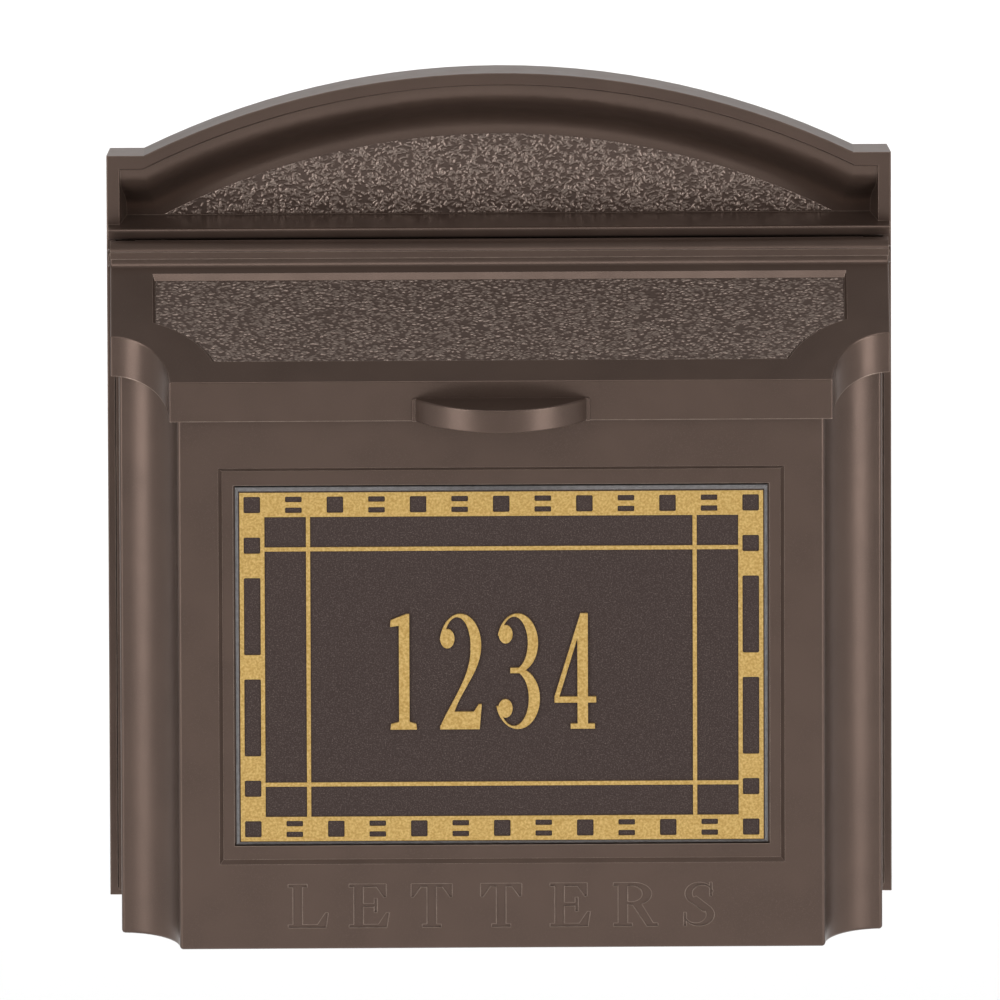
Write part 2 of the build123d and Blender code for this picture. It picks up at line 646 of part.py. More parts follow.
def digit_four():
    body = outline(
        (0, 12.6), (0, 15.4), (12.0, 55.5), (15.4, 55.5), (15.4, 0), (10.6, 0), (10.6, 12.6)
    )
    window = outline((2.2, 15.4), (10.6, 15.4), (10.6, 43.6))
    return (body - window) + bar(15, 19.2, 12.6, 15.4) + bar(7.4, 18.6, 0, 2.4)


# ---- plaque -------------------------------------------------------------------------------
def address_plaque():
    low = PLAQUE_MID - PLAQUE_HEIGHT / 2
    half = PLAQUE_WIDTH / 2
    back = PLAQUE_FACE + PLAQUE_THICKNESS
    plate = span(-half, half, PLAQUE_FACE, back, low, low + PLAQUE_HEIGHT)
    front = plate.faces().sort_by(Axis.Y)[0]
    return chamfer(front.edges(), PLAQUE_BEVEL)


def frame_lines(half_x, half_z, thickness):
    """A rectangular line, measured to its outside."""
    outer = Rectangle(2 * half_x, 2 * half_z)
    return outer - Rectangle(2 * (half_x - thickness), 2 * (half_z - thickness))


def border_window(x, z, width, height, slots):
    """A rounded opening in the gold border, or a pair of narrow slots in its place."""
    if not slots:
        return Pos(x, z) * RectangleRounded(width, height, RELIEF_ROUND)
    slot = RectangleRounded(width, height * 0.34, RELIEF_ROUND * 0.8)
    return Pos(x, z + height * 0.33) * slot + Pos(x, z - height * 0.33) * slot


def relief_windows(half_x, half_z, pitch_x, pitch_z):
    """Openings in the border: a row along the top and bottom, long panels down the sides."""
    width = pitch_x - RELIEF_LINE
    height = pitch_z - RELIEF_LINE
    column = half_x - RELIEF_LINE - width / 2
    row = half_z - RELIEF_LINE - height / 2
    reach = round(column / pitch_x)
    levels = round(row / pitch_z)
    windows = Sketch()
    for place in range(-reach, reach + 1, 2):
        slots = (place + reach) % 4 == 2
        for side in (-1, 1):
            windows = windows + border_window(place * pitch_x, side * row, width, height, slots)
    panel = (levels - 4) * pitch_z - RELIEF_LINE
    for side in (-1, 1):
        for end in (-1, 1):
            z = end * (levels - 2) * pitch_z
            windows = windows + border_window(side * column, z, width, height, False)
            middle = end * (pitch_z + panel + RELIEF_LINE) / 2
            windows = windows + border_window(side * column, middle, width, panel, False)
    return windows


def relief_pattern():
    """A gold border with openings, and one plain line inside it tied to it at the corners."""
    half_x = PLAQUE_WIDTH / 2 - PLAQUE_BEVEL - RELIEF_INSET
    half_z = PLAQUE_HEIGHT / 2 - PLAQUE_BEVEL - RELIEF_INSET
    columns = 2 * round(half_x / RELIEF_PITCH - 0.5) + 1
    rows = 2 * round(half_z / RELIEF_PITCH - 0.5) + 1
    pitch_x = (2 * half_x - RELIEF_LINE) / columns
    pitch_z = (2 * half_z - RELIEF_LINE) / rows
    ring_x = 2 * (half_x - pitch_x - RELIEF_LINE)
    ring_z = 2 * (half_z - pitch_z - RELIEF_LINE)
    pattern = Rectangle(2 * half_x, 2 * half_z) - Rectangle(ring_x, ring_z)
    pattern = pattern - relief_windows(half_x, half_z, pitch_x, pitch_z)
    inner_x = ring_x / 2 - 2 * pitch_x
    inner_z = ring_z / 2 - 1.5 * pitch_z
    pattern = pattern + frame_lines(inner_x, inner_z, RELIEF_LINE)
    for side_x in (-1, 1):
        for side_z in (-1, 1):
            tie_x = side_x * (inner_x - RELIEF_LINE / 2)
            tie_z = side_z * (inner_z - RELIEF_LINE / 2)
            near_z, far_z = sorted((side_z * inner_z, side_z * (ring_z / 2 + 0.5)))
            near_x, far_x = sorted((side_x * inner_x, side_x * (ring_x / 2 + 0.5)))
            pattern = pattern + bar(tie_x - RELIEF_LINE / 2, tie_x + RELIEF_LINE / 2, near_z, far_z)
            pattern = pattern + bar(near_x, far_x, tie_z - RELIEF_LINE / 2, tie_z + RELIEF_LINE / 2)
    return pattern


def plaque_border():
    pattern = Pos(0, PLAQUE_MID) * relief_pattern()
    return forwards(pattern, PLAQUE_FACE, RELIEF)


def house_numbers():
    digits = [digit_one(), digit_two(), digit_three(), digit_four()]
    start = DIGIT_SHIFT - 1.5 * DIGIT_PITCH
    height = PLAQUE_HEIGHT * DIGIT_SHARE
    bottom = PLAQUE_MID - DIGIT_LOW - height / 2
    solids = []
    for place, design in enumerate(digits):
        digit = scale(design, by=height / DIGIT_CAP)
        middle = digit.bounding_box().center().X
        shape = Pos(start + place * DIGIT_PITCH - middle, bottom) * digit
        solids.append(forwards(shape, PLAQUE_FACE, DIGIT_RELIEF))
    return solids


def plaque_gasket():
    half = PLAQUE_WIDTH / 2 - GASKET_INSET
    rise = PLAQUE_HEIGHT / 2 - GASKET_INSET
    sheet = span(-half, half, SEAT_FLOOR - GASKET, SEAT_FLOOR, PLAQUE_MID - rise, PLAQUE_MID + rise)
    for x, z in plaque_stud_places():
        sheet = sheet - rod_y(STUD_RADIUS + SCREW_CLEARANCE, -DEPTH, SEAT_BACK, x, z)
    return sheet


def plaque_studs():
    end = SEAT_BACK + PLAQUE_WASHER + NUT_HEIGHT + STUD_END
    back = PLAQUE_FACE + PLAQUE_THICKNESS
    return [rod_y(STUD_RADIUS, back, end, x, z) for x, z in plaque_stud_places()]


def plaque_washers():
    rings = []
    for x, z in plaque_stud_places():
        ring = rod_y(PLAQUE_WASHER_RADIUS, SEAT_BACK, SEAT_BACK + PLAQUE_WASHER, x, z)
        rings.append(ring - rod_y(STUD_RADIUS + SCREW_CLEARANCE, -CUT * 3, 0, x, z))
    return rings


def plaque_nuts():
    nuts = []
    back = SEAT_BACK + PLAQUE_WASHER
    for x, z in plaque_stud_places():
        hexagon = Pos(x, z) * RegularPolygon(NUT_FLATS / 2, 6, major_radius=False)
        nut = forwards(hexagon, back + NUT_HEIGHT, NUT_HEIGHT)
        nuts.append(nut - rod_y(STUD_RADIUS, -CUT * 3, 0, x, z))
    return nuts


# ---- lid ----------------------------------------------------------------------------------
def barrel_point(radius, degrees):
    """A point round the hinge axis; 0 is towards the wall and 90 is up."""
    turn = math.radians(degrees)
    return HINGE_Y + radius * math.cos(turn), HINGE_Z + radius * math.sin(turn)


def lid_outer_profile():
    """Side view: lip, slope, cavetto, fascia, barrel and the skirt's rear edge."""
    cavetto_y = LIP_FRONT + SLOPE_RUN
    cavetto_start = (cavetto_y, slope_top(cavetto_y))
    centre = (cavetto_y - CAVETTO * math.sin(SLOPE), slope_top(cavetto_y) + CAVETTO * math.cos(SLOPE))
    cavetto_end = (centre[0] + CAVETTO, centre[1])
    turn = (SLOPE - math.pi / 2) / 2
    cavetto_mid = (centre[0] + CAVETTO * math.cos(turn), centre[1] + CAVETTO * math.sin(turn))
    fascia_low = centre[1] + 0.3
    fascia_y = cavetto_end[0] - FASCIA_STEP
    barrel_start = barrel_point(BARREL_RADIUS, BARREL_FRONT)
    barrel_top = barrel_point(BARREL_RADIUS, (BARREL_FRONT + BARREL_REAR) / 2)
    barrel_end = barrel_point(BARREL_RADIUS, BARREL_REAR)
    rear_drop = (barrel_end[0] - LIP_FRONT) * math.tan(SLOPE)
    return make_face(
        [
            Polyline((LIP_FRONT, LIP_BOTTOM), (LIP_FRONT, LIP_TOP), cavetto_start),
            ThreePointArc(cavetto_start, cavetto_mid, cavetto_end),
            Polyline(
                cavetto_end, (cavetto_end[0], fascia_low), (fascia_y, fascia_low),
                (fascia_y, fascia_low + FASCIA), (fascia_y + FASCIA_SLANT, fascia_low + FASCIA),
                barrel_start,
            ),
            ThreePointArc(barrel_start, barrel_top, barrel_end),
            Polyline(
                barrel_end, (barrel_end[0], LIP_BOTTOM + rear_drop), (LIP_FRONT, LIP_BOTTOM)
            ),
        ]
    )


def lid_inner_profile():
    """Side view of the hollow under the lid, open below and behind."""
    radius = BARREL_RADIUS - BARREL_WALL
    drop = LID_TOP_WALL / math.cos(SLOPE)
    front = LIP_FRONT - 1
    wall = HINGE_Y - radius
    end = barrel_point(radius, BARREL_REAR)
    beyond = barrel_point(radius + CUT, BARREL_REAR)
    return make_face(
        [
            Polyline(
                (beyond[0], LIP_BOTTOM - 20), (front, LIP_BOTTOM - 20), (front, slope_top(front) - drop),
                (wall, slope_top(wall) - drop), (wall, HINGE_Z),
            ),
            ThreePointArc((wall, HINGE_Z), barrel_point(radius, 90), end),
            Polyline(end, beyond, (beyond[0], LIP_BOTTOM - 20)),
        ]
    )


def slope_plane(depth):
    """The lid's upper surface, sunk by depth, with its origin on the lip edge."""
    normal = (0, -math.sin(SLOPE), math.cos(SLOPE))
    return Plane(origin=(0, LIP_FRONT, LIP_TOP), x_dir=(1, 0, 0), z_dir=normal).offset(-depth)


def panel_outline(half, near, far):
    """Panel on the slope: square far corners, near corners scooped out."""
    cut_x = half - PANEL_CUT_ACROSS
    cut_y = near + PANEL_CUT_UP
    mid_x = half - PANEL_CUT_ACROSS * PANEL_CURVE_ACROSS
    mid_y = near + PANEL_CUT_UP * PANEL_CURVE_UP
    return make_face(
        [
            Line((-cut_x, near), (cut_x, near)),
            ThreePointArc((cut_x, near), (mid_x, mid_y), (half, cut_y)),
            Polyline((half, cut_y), (half, far), (-half, far), (-half, cut_y)),
            ThreePointArc((-half, cut_y), (-mid_x, mid_y), (-cut_x, near)),
        ]
    )


def is_cove_upright(edge):
    """True for the lid's vertical edges beside its coves."""
    size = edge.bounding_box().size
    return size.X < 0.01 and size.Y < 0.01 and edge.center().Y < LIP_FRONT + COVE + 1


def is_slope_rim(edge):
    """True for the edges round the lid's slope, except its line against the cavetto."""
    middle = edge.center()
    on_slope = abs(middle.Z - slope_top(middle.Y)) < 0.05
    return on_slope and middle.Y < LIP_FRONT + SLOPE_RUN - 1


def lid():
    outer_plan = coved_plan(LID_HALF, LIP_FRONT, 0, COVE)
    inner_plan = coved_plan(LID_HALF - LID_WALL, LIP_FRONT + LID_WALL, 0, COVE)
    low = LIP_BOTTOM - 20
    high = HINGE_Z + 20
    body = upwards(outer_plan, low, high) & across(lid_outer_profile(), -LID_HALF, LID_HALF)
    body = fillet(body.edges().filter_by(is_cove_upright), LID_EDGE_ROUND)
    body = fillet(body.edges().filter_by(is_slope_rim), LID_EDGE_ROUND)
    inner_half = LID_HALF - LID_WALL
    hollow = upwards(inner_plan, low, high) & across(lid_inner_profile(), -inner_half, inner_half)
    body = body - hollow
    wide = slope_plane(0) * panel_outline(PANEL_HALF, PANEL_NEAR, PANEL_FAR)
    floor_half = PANEL_HALF - PANEL_SIDE_BEVEL
    floor_near = PANEL_NEAR + PANEL_NEAR_BEVEL
    floor_outline = panel_outline(floor_half, floor_near, PANEL_FAR - PANEL_FAR_BEVEL)
    narrow = slope_plane(PANEL_DEPTH) * floor_outline
    body = body - loft([wide.face(), narrow.face()], ruled=True)
    for side in (-1, 1):
        x_low, x_high = sorted((side * (EAR_INNER - CLIP - 1), side * inner_half))
        z_low = HINGE_Z - EAR_NOTCH_LOW
        z_high = HINGE_Z + EAR_NOTCH_HIGH
        body = body - span(x_low, x_high, HINGE_Y + EAR_NOTCH_STEP, -RIM_DEPTH, z_low, z_high)
    for x, z in pull_screw_places():
        body = body - countersunk_hole(x, z, LIP_FRONT + LID_WALL)
    return body - rod_x(PIN_RADIUS + PIN_RUNNING_FIT, -HALF, HALF, HINGE_Y, HINGE_Z)


# ---- hinge --------------------------------------------------------------------------------
def ring_x(outer, inner, x_near, x_far):
    """A flat ring round the hinge axis."""
    low = min(x_near, x_far)
    high = max(x_near, x_far)
    disc = rod_x(outer, low, high, HINGE_Y, HINGE_Z)
    return disc - rod_x(inner, low - 1, high + 1, HINGE_Y, HINGE_Z)


def hinge_pin(side):
    tip = EAR_INNER - CLIP - PIN_TIP
    seat = LID_HALF + SIDE_PLAY
    low, high = sorted((side * tip, side * seat))
    shank = rod_x(PIN_RADIUS, low, high, HINGE_Y, HINGE_Z)
    low, high = sorted((side * seat, side * (seat + PIN_HEAD)))
    head = rod_x(PIN_HEAD_RADIUS, low, high, HINGE_Y, HINGE_Z)
    pin = shank + head
    rim = pin.edges().filter_by(GeomType.CIRCLE).sort_by(Axis.X)[-1 if side > 0 else 0]
    return fillet(rim, PIN_HEAD * 0.6)


def hinge_washer(side):
    far = SHELL_HALF + LID_SIDE_GAP - WASHER_PLAY
    return ring_x(WASHER_RADIUS, PIN_RADIUS + PIN_RUNNING_FIT, side * SHELL_HALF, side * far)


def hinge_clip(side):
    return ring_x(CLIP_RADIUS, PIN_RADIUS, side * (EAR_INNER - CLIP), side * EAR_INNER)


# ---- pull and bumpers ---------------------------------------------------------------------
def bow_plan(shrink):
    """Plan outline of the bow: a circle's segment on the front of its plate."""
    half = PULL_WIDTH / 2 - shrink
    proud = PULL_PROUD - PULL_PLATE - shrink
    start = LIP_FRONT - PULL_PLATE
    return make_face(
        [
            Line((-half, start), (half, start)),
            ThreePointArc((half, start), (0, start - proud), (-half, start)),
        ]
    )


def pull_screw_places():
    z = LIP_BOTTOM + PULL_HEIGHT / 2
    return [(side * PULL_SCREW_ACROSS / 2, z) for side in (-1, 1)]


def pull_plate():
    """Thin plate with rounded upper corners and a rounded front edge."""
    half = PULL_PLATE_WIDTH / 2
    high = LIP_BOTTOM + PULL_HEIGHT
    plate = span(-half, half, LIP_FRONT - PULL_PLATE, LIP_FRONT, LIP_BOTTOM, high)
    corners = plate.edges().filter_by(Axis.Y).group_by(Axis.Z)[-1]
    plate = fillet(corners, PULL_CORNER)
    front = plate.faces().sort_by(Axis.Y)[0].edges()
    upper = front.filter_by(lambda edge: edge.center().Z > LIP_BOTTOM + 0.1)
    return fillet(upper, PULL_PLATE_ROUND)


def lid_pull():
    bow = upwards(bow_plan(0), LIP_BOTTOM, LIP_BOTTOM + PULL_HEIGHT)
    round_edges = bow.edges().filter_by(lambda edge: edge.geom_type == GeomType.CIRCLE)
    bow = fillet(round_edges, PULL_EDGE_ROUND)
    hollow = upwards(bow_plan(PULL_WALL), LIP_BOTTOM - 1, LIP_BOTTOM + PULL_HEIGHT - PULL_WALL)
    pull = pull_plate() + (bow - hollow)
    tip = LIP_FRONT + LID_WALL - PULL_SCREW_LENGTH
    for x, z in pull_screw_places():
        end = tip - PULL_BOSS_END
        root = LIP_FRONT - PULL_PLATE / 2
        boss = rod_y(PULL_BOSS_RADIUS, end, root, x, z)
        web = span(x - PULL_BOSS_RADIUS, x + PULL_BOSS_RADIUS, end, root, z, z + PULL_WEB)
        pull = pull + ((boss + web) & bow)
        pull = pull - rod_y(SCREW_RADIUS, tip, LIP_FRONT + 1, x, z)
    return pull


def pull_screws():
    face = LIP_FRONT + LID_WALL
    return [countersunk_screw(x, z, face, PULL_SCREW_LENGTH) for x, z in pull_screw_places()]


def shell_screws():
    return [countersunk_screw(x, z, 0, SCREW_LENGTH) for x, z in shell_screw_places()]


def lid_bumper(x, y):
    """Rubber dome with a stem pushed into the front wall's boss."""
    under = slope_top(y) - LID_TOP_WALL / math.cos(SLOPE)
    dome_centre = under - (BUMPER_RADIUS + BUMPER_GAP) / math.cos(SLOPE)
    post = Pos(x, y, (FRONT_WALL_TOP + dome_centre) / 2)
    body = post * Cylinder(BUMPER_RADIUS, dome_centre - FRONT_WALL_TOP)
    body = body + Pos(x, y, dome_centre) * Sphere(BUMPER_RADIUS)
    return body + Pos(x, y, FRONT_WALL_TOP) * bumper_stem()


# ---- write every node ---------------------------------------------------------------------
def main():
    bumpers = bumper_places()
    nodes = {
        "back_casting": back_casting(),
        "front_shell": front_shell(),
        "lid": lid(),
        "lid_pull": lid_pull(),
        "pull_screws": pull_screws(),
        "hinge_pin_left": hinge_pin(-1),
        "hinge_pin_right": hinge_pin(1),
        "hinge_washer_left": hinge_washer(-1),
        "hinge_washer_right": hinge_washer(1),
        "hinge_clip_left": hinge_clip(-1),
        "hinge_clip_right": hinge_clip(1),
        "address_plaque": address_plaque(),
        "plaque_border": plaque_border(),
        "house_numbers": house_numbers(),
        "plaque_gasket": plaque_gasket(),
        "plaque_studs": plaque_studs(),
        "plaque_washers": plaque_washers(),
        "plaque_nuts": plaque_nuts(),
        "shell_screws": shell_screws(),
        "lid_bumper_left": lid_bumper(*bumpers[0]),
        "lid_bumper_right": lid_bumper(*bumpers[1]),
    }
    os.makedirs("parts", exist_ok=True)
    down = Pos(0, 0, -WALL_HOLE_MID)
    for name, shape in nodes.items():
        if isinstance(shape, list):
            placed = Compound(children=[down * piece for piece in shape])
        else:
            placed = down * shape
        export_step(placed, f"parts/{name}.step")


main()
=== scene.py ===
import math
import bmesh
import bpy
import numpy as np
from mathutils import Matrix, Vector


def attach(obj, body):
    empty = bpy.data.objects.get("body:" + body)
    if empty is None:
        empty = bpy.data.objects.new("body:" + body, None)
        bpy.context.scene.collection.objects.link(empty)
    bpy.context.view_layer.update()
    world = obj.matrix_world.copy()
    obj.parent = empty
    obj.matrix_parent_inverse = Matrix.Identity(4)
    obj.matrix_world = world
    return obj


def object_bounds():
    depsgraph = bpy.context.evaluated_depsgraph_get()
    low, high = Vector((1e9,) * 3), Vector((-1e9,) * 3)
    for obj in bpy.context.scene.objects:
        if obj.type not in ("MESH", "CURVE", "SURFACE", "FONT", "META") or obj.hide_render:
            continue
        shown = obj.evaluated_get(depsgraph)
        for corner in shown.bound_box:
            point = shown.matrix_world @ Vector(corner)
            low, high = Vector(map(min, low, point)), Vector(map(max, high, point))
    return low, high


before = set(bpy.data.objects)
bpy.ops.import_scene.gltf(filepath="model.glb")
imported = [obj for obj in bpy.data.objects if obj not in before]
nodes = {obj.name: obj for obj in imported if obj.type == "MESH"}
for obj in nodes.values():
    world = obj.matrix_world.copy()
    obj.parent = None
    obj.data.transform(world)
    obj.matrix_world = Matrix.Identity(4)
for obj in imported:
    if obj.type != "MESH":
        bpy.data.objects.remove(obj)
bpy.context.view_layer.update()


# ---- back casting -------------------------------------------------------------------------
# One aluminium casting: wall plate, rim, ledge and the arched crest over the lid.
# It is coated in a satin bronze-brown paint with a fine metal fleck, sprayed on and baked.

PAINT_BROWN = (0.100, 0.067, 0.053, 1)
PAINT_LIGHT = (0.113, 0.076, 0.060, 1)
PAINT_FLECK = (0.195, 0.143, 0.117, 1)
PAINT_EDGE_HIGHLIGHT = (0.400, 0.310, 0.255, 1)    # painted highlight along the edges, where rounded edges catch the light
PAINT_ROUGHNESS = 0.31
PAINT_METAL = 0.7
CLOUD_SIZE = 0.03            # metres, like every size here
FLECK_SIZE = 0.0004
GLOSS_PATCH = 0.012
PEEL_SIZE = 0.0011
PEEL_DEPTH = 0.00003
EDGE_HIGHLIGHT_PATCH = 0.004
EDGE_REACH = 0.0006          # how far the painted edge highlight reaches from an edge


def new_material(name):
    """An empty node material with its shader and output."""
    material = bpy.data.materials.new(name)
    material.use_nodes = True
    tree = material.node_tree
    return material, tree, tree.nodes["Principled BSDF"]


def add(tree, kind, **settings):
    """A node with some of its settings or sockets filled in."""
    made = tree.nodes.new(kind)
    for name, value in settings.items():
        if name in made.inputs:
            made.inputs[name].default_value = value
        else:
            setattr(made, name, value)
    return made


def noise(tree, place, size, detail=3.0):
    """Noise whose grains are about size metres across."""
    grains = add(tree, "ShaderNodeTexNoise", Scale=1.0 / size, Detail=detail)
    tree.links.new(place, grains.inputs["Vector"])
    return grains.outputs["Fac"]


def ramp(tree, value, low, high, low_colour, high_colour):
    """Turns a value between low and high into one between two colours."""
    made = tree.nodes.new("ShaderNodeValToRGB")
    made.color_ramp.elements[0].position = low
    made.color_ramp.elements[1].position = high
    made.color_ramp.elements[0].color = low_colour
    made.color_ramp.elements[1].color = high_colour
    tree.links.new(value, made.inputs["Fac"])
    return made.outputs["Color"]


def mix(tree, share, under, over):
    """Blends two colours by a share."""
    made = add(tree, "ShaderNodeMix", data_type="RGBA")
    tree.links.new(share, made.inputs["Factor"])
    tree.links.new(under, made.inputs["A"])
    tree.links.new(over, made.inputs["B"])
    return made.outputs["Result"]


def grey(value):
    return (value, value, value, 1)


def object_place(tree):
    """Position in the object's own space, so a pattern stays on its piece."""
    return tree.nodes.new("ShaderNodeTexCoord").outputs["Object"]


def bumps(tree, shader, height, depth, strength):
    """Lets a height pattern disturb the surface by about depth metres."""
    made = add(tree, "ShaderNodeBump", Distance=depth, Strength=strength)
    tree.links.new(height, made.inputs["Height"])
    tree.links.new(made.outputs["Normal"], shader.inputs["Normal"])


def edge_share(tree):
    """One along the object's edges and corners, nought on its flats."""
    rounded = add(tree, "ShaderNodeBevel", samples=8, Radius=EDGE_REACH)
    flat = tree.nodes.new("ShaderNodeNewGeometry")
    alike = add(tree, "ShaderNodeVectorMath", operation="DOT_PRODUCT")
    tree.links.new(rounded.outputs["Normal"], alike.inputs[0])
    tree.links.new(flat.outputs["Normal"], alike.inputs[1])
    return ramp(tree, alike.outputs["Value"], 0.90, 0.985, grey(0.85), grey(0))


def satin_surface(name):
    """What the paint's surface is like wherever it is sprayed: its gloss and orange peel."""
    material, tree, shader = new_material(name)
    place = object_place(tree)
    gloss = noise(tree, place, GLOSS_PATCH, 3.0)
    low, high = PAINT_ROUGHNESS - 0.03, PAINT_ROUGHNESS + 0.04
    tree.links.new(ramp(tree, gloss, 0.3, 0.7, grey(low), grey(high)), shader.inputs["Roughness"])
    shader.inputs["Metallic"].default_value = PAINT_METAL
    bumps(tree, shader, noise(tree, place, PEEL_SIZE, 2.0), PEEL_DEPTH, 0.3)
    return material, tree, shader


def sprayed_paint(name):
    """Satin brown paint with a cloudy tone and a very fine bright fleck."""
    material, tree, shader = satin_surface(name)
    place = object_place(tree)
    cloud = noise(tree, place, CLOUD_SIZE, 2.0)
    tone = ramp(tree, cloud, 0.35, 0.65, PAINT_BROWN, PAINT_LIGHT)
    fleck = noise(tree, place, FLECK_SIZE, 1.0)
    fleck_share = ramp(tree, fleck, 0.55, 0.80, grey(0), grey(0.35))
    bright = ramp(tree, cloud, 0.35, 0.65, PAINT_FLECK, PAINT_LIGHT)
    tree.links.new(mix(tree, fleck_share, tone, bright), shader.inputs["Base Color"])
    return material


def coat(material, *names):
    """Puts a finish on some of the CAD nodes."""
    for name in names:
        for slot in nodes[name].material_slots:
            slot.material = material


def paint_edge_highlights(material):
    """Paints a highlight along the edges of whatever wears it: a lighter colour standing in for
    the light that rounded edges catch.
    """
    tree = material.node_tree
    colour = tree.nodes["Principled BSDF"].inputs["Base Color"]
    under = colour.links[0].from_socket
    patch = noise(tree, object_place(tree), EDGE_HIGHLIGHT_PATCH, 2.0)
    # Painted highlight: a patchy lighter colour along the edges, in place of the light they catch.
    edge_highlight = ramp(tree, patch, 0.2, 0.8, PAINT_FLECK, PAINT_EDGE_HIGHLIGHT)
    tree.links.new(mix(tree, edge_share(tree), under, edge_highlight), colour)


paint = sprayed_paint("bronze_paint")
# The casting's paint gets a painted highlight along every edge.
paint_edge_highlights(paint)
coat(paint, "back_casting")


# ---- flecked panel in the crest -----------------------------------------------------------
# The sunk flat of the crest is cast with a rough ground of short raised flecks in every
# direction, under the same paint. It is part of the back casting.

FLECK_GRID = 0.0003
FLECK_SPREAD = 0.0000019     # square metres of panel for each fleck
FLECK_HEIGHT = 0.00038
FLECK_TOP_HIGHLIGHT = (0.300, 0.235, 0.200, 1)     # painted highlight on the tops of the flecks, where they would catch the light
CREST_GROUND = (0.105, 0.073, 0.060, 1)
FLECK_EDGE = 0.0005          # the flecks die away this near the panel's edge
FLECK_HALF_LENGTHS = (0.0007, 0.0013)
FLECK_HALF_WIDTHS = (0.00033, 0.00045)
FLECK_RISES = (0.55, 1.0)    # shares of the full height
FLECK_HIGHLIGHT_STARTS = 0.35            # and so are these, between which the painted highlight comes in
FLECK_HIGHLIGHT_ENDS = 0.95
SKIN_FLOOR = 0.00003         # the skin's ground stands this far off the casting
SKIN_LIP = 0.0003            # width of its rim, which dips into the casting
SKIN_LIP_DROP = 0.0002
SKIN_DEPTH = 0.0006          # how deep the skin's hidden back lies
PARALLEL = 0.9999            # cosine above which a face counts as facing a direction
ON_PLANE = 0.00001           # metres off a plane at which a face still counts as on it


def flat_outline(node, normal, offset):
    """Boundary edges of a CAD node's flat face that lies on a plane."""
    mesh = nodes[node].data
    across = Vector(normal)
    uses = {}
    for polygon in mesh.polygons:
        apart = abs(polygon.center.dot(across) - offset)
        if polygon.normal.dot(across) < PARALLEL or apart > ON_PLANE:
            continue
        corners = [tuple(round(v, 6) for v in mesh.vertices[i].co) for i in polygon.vertices]
        for a, b in zip(corners, corners[1:] + corners[:1]):
            key = (min(a, b), max(a, b))
            uses[key] = uses.get(key, 0) + 1
    return [key for key, count in uses.items() if count == 1]


def edge_distance(points, segments):
    """Distance of each point to the outline, and whether it is inside it."""
    nearest = np.full(len(points), 1e9)
    inside = np.zeros(len(points), bool)
    for (ax, ay), (bx, by) in segments:
        along = np.array([bx - ax, by - ay])
        length2 = along @ along + 1e-18
        t = np.clip(((points - [ax, ay]) @ along) / length2, 0, 1)
        gap = points - [ax, ay] - t[:, None] * along
        nearest = np.minimum(nearest, np.hypot(gap[:, 0], gap[:, 1]))
        if ay != by:
            spans = (points[:, 1] > ay) != (points[:, 1] > by)
            crossing = ax + (points[:, 1] - ay) * (bx - ax) / (by - ay)
            inside ^= spans & (points[:, 0] < crossing)
    return nearest, inside


def fleck_field(columns, rows, area, seed, swing):
    """Height of a ground of short raised strokes, each a ridge turned by up to swing."""
    random = np.random.default_rng(seed)
    height = np.zeros((rows, columns))
    for _ in range(int(area / FLECK_SPREAD)):
        cx, cy = random.uniform(0, columns), random.uniform(0, rows)
        turn = random.uniform(-swing, swing)
        half_length = random.uniform(*FLECK_HALF_LENGTHS) / FLECK_GRID
        half_width = random.uniform(*FLECK_HALF_WIDTHS) / FLECK_GRID
        rise = random.uniform(*FLECK_RISES)
        reach = int(half_length * 2) + 2
        x0, x1 = max(0, int(cx) - reach), min(columns, int(cx) + reach)
        y0, y1 = max(0, int(cy) - reach), min(rows, int(cy) + reach)
        gx, gy = np.meshgrid(np.arange(x0, x1) - cx, np.arange(y0, y1) - cy)
        u = (gx * math.cos(turn) + gy * math.sin(turn)) / half_length
        v = (gy * math.cos(turn) - gx * math.sin(turn)) / half_width
        ridge = rise * np.exp(-(u**4) - v**4)
        window = height[y0:y1, x0:x1]
        np.maximum(window, ridge, out=window)
    return height


def fleck_highlight_paint(name, normal, offset, ground):
    """The same satin paint, dark in a panel's ground, with a painted highlight on its raised
    flecks.
    """
    material, tree, shader = satin_surface(name)
    level = add(tree, "ShaderNodeVectorMath", operation="DOT_PRODUCT")
    level.inputs[1].default_value = normal
    tree.links.new(object_place(tree), level.inputs[0])
    rise = add(tree, "ShaderNodeMapRange")
    rise.inputs["From Min"].default_value = offset + FLECK_HEIGHT * FLECK_HIGHLIGHT_STARTS
    rise.inputs["From Max"].default_value = offset + FLECK_HEIGHT * FLECK_HIGHLIGHT_ENDS
    tree.links.new(level.outputs["Value"], rise.inputs["Value"])
    # Painted highlight: the higher a point stands on a fleck, the lighter its colour.
    highlighted = ramp(tree, rise.outputs["Result"], 0.0, 1.0, ground, FLECK_TOP_HIGHLIGHT)
    tree.links.new(highlighted, shader.inputs["Base Color"])
    return material


def whole_cells(inside, columns, rows):
    """The grid cells with all four corners inside, and which grid points they use."""
    cell = (np.arange(rows - 1)[:, None] * columns + np.arange(columns - 1)).ravel()
    quads = np.stack([cell, cell + 1, cell + columns + 1, cell + columns], 1)
    quads = quads[inside[quads].all(1)]
    used = np.unique(quads)
    index = np.zeros(columns * rows, int)
    index[used] = np.arange(len(used))
    return used, index[quads]


